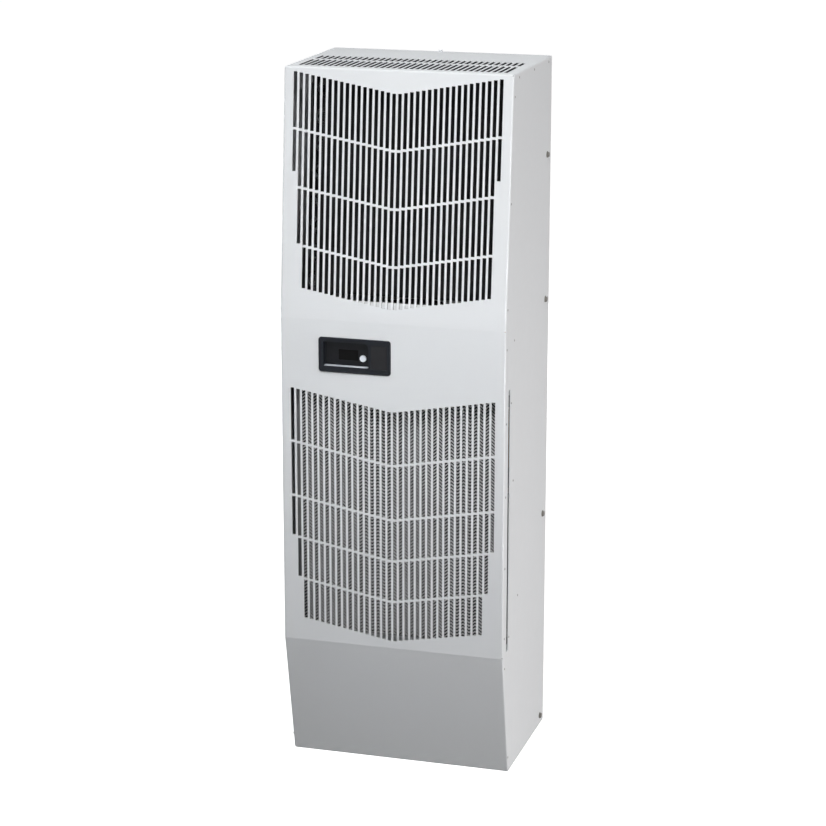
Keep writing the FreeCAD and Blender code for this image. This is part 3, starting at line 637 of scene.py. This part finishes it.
# crimped strands of the air filter, cut level at its foot and top
filterMesh = dict(
    x=(-189.0, 199.5), z=(257.0, 743.5), back=294.0, front=295.4, crimp=11.7, slope=0.86, pitch=6.4,
    strand=3.1, sheet=0.5)


def buildFilterMesh():
    s = filterMesh
    bm = bmesh.new()
    left, right = s["x"]
    low, high = s["z"]
    back, front, sheet = s["back"], s["front"], s["sheet"]
    count = round((right - left) / s["crimp"])
    step = (right - left) / count
    rise = step * s["slope"]
    half = s["strand"] / 2
    for k in range(int((high - low + rise) / s["pitch"]) + 1):
        base = low - rise + k * s["pitch"]
        rings = []
        for i in range(count + 1):
            x, z = left + i * step, base + rise * (i % 2)
            rings.append([at(x, back, z + half), at(x, back + sheet, z + half),
                          at(x, front, z - half), at(x, front - sheet, z - half)])
        ringStack(bm, rings)
    for z, up in ((low, -1), (high, 1)):
        geometry = bm.verts[:] + bm.edges[:] + bm.faces[:]
        cut = bmesh.ops.bisect_plane(bm, geom=geometry, plane_co=at(0, 0, z), plane_no=(0, 0, up),
                                     clear_outer=True)
        rims = [e for e in cut["geom_cut"] if isinstance(e, bmesh.types.BMEdge)]
        bmesh.ops.holes_fill(bm, edges=rims)
    makePiece("filterMesh", bm, "filter_aluminium", "filter", ("filter_mesh",))


# dark pleated sheet behind the strands that keeps the gaps between them dark: painted shade
filterShadeBacking = dict(back=289.6, front=293.0, pleat=5.2, thick=1.0)


def buildFilterShadeBacking():
    s = filterShadeBacking
    bm = bmesh.new()
    left, right = filterMesh["x"]
    low, high = filterMesh["z"]
    count = round((right - left) / s["pleat"])
    rings = []
    for i in range(count + 1):
        x = left + (right - left) * i / count
        front = s["front"] if i % 2 else s["back"] + s["thick"]
        back = front - s["thick"]
        rings.append([at(x, front, low), at(x, front, high), at(x, back, high), at(x, back, low)])
    ringStack(bm, rings)
    makePiece("filterShadeBacking", bm, "filter_backing_painted_shade", "filter", sharpAngle=80)


buildFilterMesh()
buildFilterShadeBacking()
print("filter mesh and shade_backing done")


# condenser: thin fins on two columns of tubes; its foot is (depth, height)
coilBlock = dict(
    x=(-150.0, 190.0), foot=(312.0, 912.0), tilt=12.0, length=396.0, thick=44.0, endGap=2.0, firstFin=1.2,
    finPitch=3.0, fin=0.3, rows=16, tube=4.8, tubeSteps=12, columns=(13.0, 33.0), plate=1.5)


def coilSpot(x, inward, up):
    tilt = math.radians(coilBlock["tilt"])
    footDepth, footHeight = coilBlock["foot"]
    depth = footDepth - up * math.sin(tilt) - inward * math.cos(tilt)
    return at(x, depth, footHeight + up * math.cos(tilt) - inward * math.sin(tilt))


def coilSheet(bm, x, thickness):
    s = coilBlock
    low, high = s["endGap"], s["length"] - s["endGap"]
    corners = ((0, low), (s["thick"], low), (s["thick"], high), (0, high))
    ringStack(bm, [[coilSpot(side, inward, up) for inward, up in corners] for side in (x, x + thickness)])


def buildCoil():
    s = coilBlock
    bm = bmesh.new()
    left, right = s["x"]
    width = right - left
    for k in range(int(width / s["finPitch"])):
        coilSheet(bm, left + s["firstFin"] + k * s["finPitch"], s["fin"])
    coilSheet(bm, left - s["plate"], s["plate"])
    pitch = s["length"] / s["rows"]
    for row in range(s["rows"]):
        for inward in s["columns"]:
            start = coilSpot(left, inward, (row + 0.5) * pitch)
            lathe(bm, [(s["tube"], 0), (s["tube"], width)], start, Vector((1, 0, 0)), s["tubeSteps"])
    makePiece("condenserCoil", bm, "coil_aluminium", "casing", ("condenser_fins",))


# bends that join the tubes two by two at the coil's left end, in metal darkened as painted shade
returnBends = dict(tube=3.4, straight=5.0, steps=12)


def buildReturnBends():
    s = returnBends
    bm = bmesh.new()
    plate = coilBlock["x"][0] - coilBlock["plate"]
    turnStart = plate - s["straight"]
    rows = coilBlock["rows"]
    pitch = coilBlock["length"] / rows
    reach = pitch / 2
    for row in range(0, rows - 1, 2):
        middle = (row + 1) * pitch
        for inward in coilBlock["columns"]:
            path = [coilSpot(plate, inward, middle - reach)]
            for k in range(s["steps"] + 1):
                turn = math.pi * k / s["steps"]
                path.append(coilSpot(turnStart - reach * math.sin(turn), inward,
                                     middle - reach * math.cos(turn)))
            path.append(coilSpot(plate, inward, middle + reach))
            sweepTube(bm, path, s["tube"])
    makePiece("returnBends", bm, "bend_metal_painted_shade", "casing")


buildCoil()
buildReturnBends()
print("condenser coil done")


# backward-curved wheel behind the return-air inlet; disc and shroud: (radius, depth)
evaporatorWheel = dict(
    height=1130.0, steps=64,
    disc=((11.5, 40.0), (13.0, 41.5), (14.5, 52.0), (19.0, 57.0), (25.0, 58.0), (100.0, 58.0),
          (100.0, 60.0), (5.4, 60.0), (5.4, 43.2)),
    shroud=((78.0, 20.0), (86.0, 22.5), (100.0, 26.0), (100.0, 27.6), (86.0, 24.2), (79.2, 21.8)),
    blades=7, bladeReach=(50.0, 98.5), bladeDepth=(21.0, 58.0), bladeThick=1.8, bladeSweep=56.0,
    bladeCurl=1.3, bladeSteps=8)


# outline of one blade, seen along the wheel's axis
def bladeOutline(start):
    s = evaporatorWheel
    inner, outer = s["bladeReach"]
    last = s["bladeSteps"]
    line = []
    for k in range(last + 1):
        share = k / last
        radius = inner + (outer - inner) * share
        turn = start - math.radians(s["bladeSweep"]) * share ** s["bladeCurl"]
        line.append(Vector((radius * math.cos(turn), 0, radius * math.sin(turn))))
    sides = []
    for side in (1, -1):
        edge = []
        for k, point in enumerate(line):
            ahead = (line[min(k + 1, last)] - line[max(k - 1, 0)]).normalized()
            edge.append(point + Vector((-ahead.z, 0, ahead.x)) * (side * s["bladeThick"] / 2))
        sides.append(edge)
    return sides[0] + sides[1][::-1]


def buildEvaporatorWheel():
    s = evaporatorWheel
    bm = bmesh.new()
    centre = at(0, 0, s["height"])
    forward = Vector((0, -1, 0))
    lathe(bm, s["disc"], centre, forward, s["steps"])
    lathe(bm, s["shroud"], centre, forward, s["steps"], closed=True)
    for start in turns(s["blades"]):
        outline = bladeOutline(start)
        ringStack(bm, [[centre + forward * (depth * mm) + p * mm for p in outline]
                       for depth in s["bladeDepth"]])
    makePiece("evaporatorWheel", bm, "fan_plastic", "evaporator_fan", ("evaporator_wheel",))


# round wire guard over the wheel's inlet, resting on the inlet plate
inletGuard = dict(
    plate=14.5, wire=1.1, wireSides=8, rings=(18.0, 32.0, 46.0, 60.0, 74.0), ringSteps=64, ringLift=1.76,
    spoke=84.0, spokes=4, hub=((10.0, 0.0), (10.0, 1.4), (9.0, 2.2)))


def buildInletGuard():
    s = inletGuard
    bm = bmesh.new()
    height = evaporatorWheel["height"]
    spokeDepth = s["plate"] - s["wire"]
    ringDepth = spokeDepth - s["ringLift"]
    for radius in s["rings"]:
        path = [at(radius * math.cos(turn), ringDepth, height + radius * math.sin(turn))
                for turn in turns(s["ringSteps"])]
        sweepTube(bm, path, s["wire"], s["wireSides"], closed=True)
    for k in range(s["spokes"]):
        turn = math.pi * (k + 0.5) / s["spokes"]
        x, z = s["spoke"] * math.cos(turn), s["spoke"] * math.sin(turn)
        path = [at(x * share, spokeDepth, height + z * share) for share in (-1, -0.5, 0.5, 1)]
        sweepTube(bm, path, s["wire"], s["wireSides"])
    lathe(bm, s["hub"], at(0, ringDepth, height), Vector((0, 1, 0)))
    makePiece("inletGuard", bm, "inner_sheet", "casing")


buildEvaporatorWheel()
buildInletGuard()
print("evaporator wheel and guard done")


# floor and world; the glow is what the camera and reflections see of the floor, near and far
studio = dict(
    floorHalf=40.0, floorColour=0.80, floorBounce=0.10, floorGlow=(0.86, 1.0), glowReach=(1.0, 3.5),
    ambient=0.03, ambientTint=(0.97, 0.985, 1.0))


def rayMask(tree):
    rays = addNode(tree, "LightPath")
    seen = addNode(tree, "Math", {0: rays.outputs["Is Camera Ray"], 1: rays.outputs["Is Glossy Ray"]},
                   operation="MAXIMUM")
    return addNode(tree, "Math", {0: seen.outputs[0], 1: rays.outputs["Is Transmission Ray"]},
                   operation="MAXIMUM").outputs[0]


def buildFloor():
    s = studio
    mesh = bpy.data.meshes.new("studioFloor")
    half = s["floorHalf"]
    corners = [(-half, -half, 0), (half, -half, 0), (half, half, 0), (-half, half, 0)]
    mesh.from_pydata(corners, [], [(0, 1, 2, 3)])
    floor = bpy.data.objects.new("studioFloor", mesh)
    bpy.context.scene.collection.objects.link(floor)
    mat = bpy.data.materials.new("studioFloor")
    mat.use_nodes = True
    tree = mat.node_tree
    tree.nodes.remove(tree.nodes["Principled BSDF"])
    spot = addNode(tree, "NewGeometry")
    away = addNode(tree, "VectorMath", {0: spot.outputs["Position"]}, operation="LENGTH")
    (nearGlow, farGlow), (nearReach, farReach) = s["floorGlow"], s["glowReach"]
    glowLevel = addNode(tree, "MapRange", {"Value": away.outputs["Value"], "From Min": nearReach,
                                           "From Max": farReach, "To Min": nearGlow, "To Max": farGlow})
    shown = addNode(tree, "BsdfDiffuse", {"Color": opaque((s["floorColour"],) * 3)})
    glow = addNode(tree, "Emission", {"Color": opaque((1, 1, 1)), "Strength": glowLevel.outputs[0]})
    bright = addNode(tree, "AddShader", {0: shown.outputs[0], 1: glow.outputs[0]})
    bounce = addNode(tree, "BsdfDiffuse", {"Color": opaque((s["floorBounce"],) * 3)})
    mixed = addNode(tree, "MixShader", {0: rayMask(tree), 1: bounce.outputs[0], 2: bright.outputs[0]})
    tree.links.new(mixed.outputs[0], tree.nodes["Material Output"].inputs["Surface"])
    mesh.materials.append(mat)


def buildWorld():
    world = bpy.data.worlds.new("studioWorld")
    bpy.context.scene.world = world
    world.use_nodes = True
    tree = world.node_tree
    soft = tree.nodes["Background"]
    soft.inputs["Color"].default_value = opaque(studio["ambientTint"])
    soft.inputs["Strength"].default_value = studio["ambient"]
    white = addNode(tree, "Background", {"Color": opaque((1, 1, 1)), "Strength": 1.0})
    mixed = addNode(tree, "MixShader", {0: rayMask(tree), 1: soft.outputs[0], 2: white.outputs[0]})
    tree.links.new(mixed.outputs[0], tree.nodes["World Output"].inputs["Surface"])


def aimAt(thing, place, target):
    thing.location = place
    thing.rotation_euler = (Vector(target) - Vector(place)).to_track_quat("-Z", "Y").to_euler()


# soft lamps; places, aims and sizes are in metres, power in watts, spread in degrees
lamps = dict(
    keyLight=dict(place=(0.42, -2.05, 3.05), aim=(0.0, 0.0, 0.8), size=(1.4, 0.8), power=83.0),
    highLight=dict(place=(-0.7, -1.95, 4.2), aim=(0.0, 0.0, 0.75), size=(2.2, 1.6), power=31.0),
    topLight=dict(place=(0.0, 0.5, 3.2), aim=(0.0, 0.0, 1.3), size=(1.2, 0.8), power=3.4),
    frontLight=dict(place=(0.2, -3.6, 2.0), aim=(0.0, 0.0, 0.72), size=(0.6, 0.5), power=0.7, spread=24.0),
    sideLight=dict(place=(3.0, -0.65, 0.31), aim=(0.0, 0.0, 0.31), size=(1.6, 0.6), power=69.0,
                   tint=(1.0, 0.963, 0.945)),
    leftLight=dict(place=(-3.2, 0.1, 0.9), aim=(0.0, 0.0, 0.65), size=(1.6, 1.6), power=26.0),
    backLight=dict(place=(-1.6, 3.4, 0.8), aim=(0.0, 0.0, 0.7), size=(2.4, 1.4), power=40.0),
)


def buildLamps():
    for name, s in lamps.items():
        data = bpy.data.lights.new(name, "AREA")
        data.shape = "RECTANGLE"
        data.size, data.size_y = s["size"]
        data.energy = s["power"]
        data.spread = math.radians(s.get("spread", 180.0))
        data.color = s.get("tint", (1.0, 1.0, 1.0))
        lamp = bpy.data.objects.new(name, data)
        bpy.context.scene.collection.objects.link(lamp)
        aimAt(lamp, s["place"], s["aim"])


# azimuth is counted from the front to the right; focal length and frame are in pixels
studioCamera = dict(
    target=(-7.92, 0.0, 656.86), azimuth=16.571, elevation=15.135, distance=4856.0,
    focalPixels=2569.8, framePixels=826, sensorWidth=36.0, clipEnd=200.0)


def buildCamera():
    s = studioCamera
    az, el = math.radians(s["azimuth"]), math.radians(s["elevation"])
    target = Vector(s["target"]) * mm
    away = Vector((math.sin(az) * math.cos(el), -math.cos(az) * math.cos(el), math.sin(el)))
    data = bpy.data.cameras.new("studioCamera")
    data.sensor_fit = "HORIZONTAL"
    data.sensor_width = s["sensorWidth"]
    data.lens = s["sensorWidth"] * s["focalPixels"] / s["framePixels"]
    data.clip_end = s["clipEnd"]
    camera = bpy.data.objects.new("studioCamera", data)
    bpy.context.scene.collection.objects.link(camera)
    aimAt(camera, target + away * (s["distance"] * mm), target)
    bpy.context.scene.camera = camera


buildFloor()
buildWorld()
buildLamps()
buildCamera()
bpy.context.scene.view_settings.view_transform = "Standard"
print("studio done")
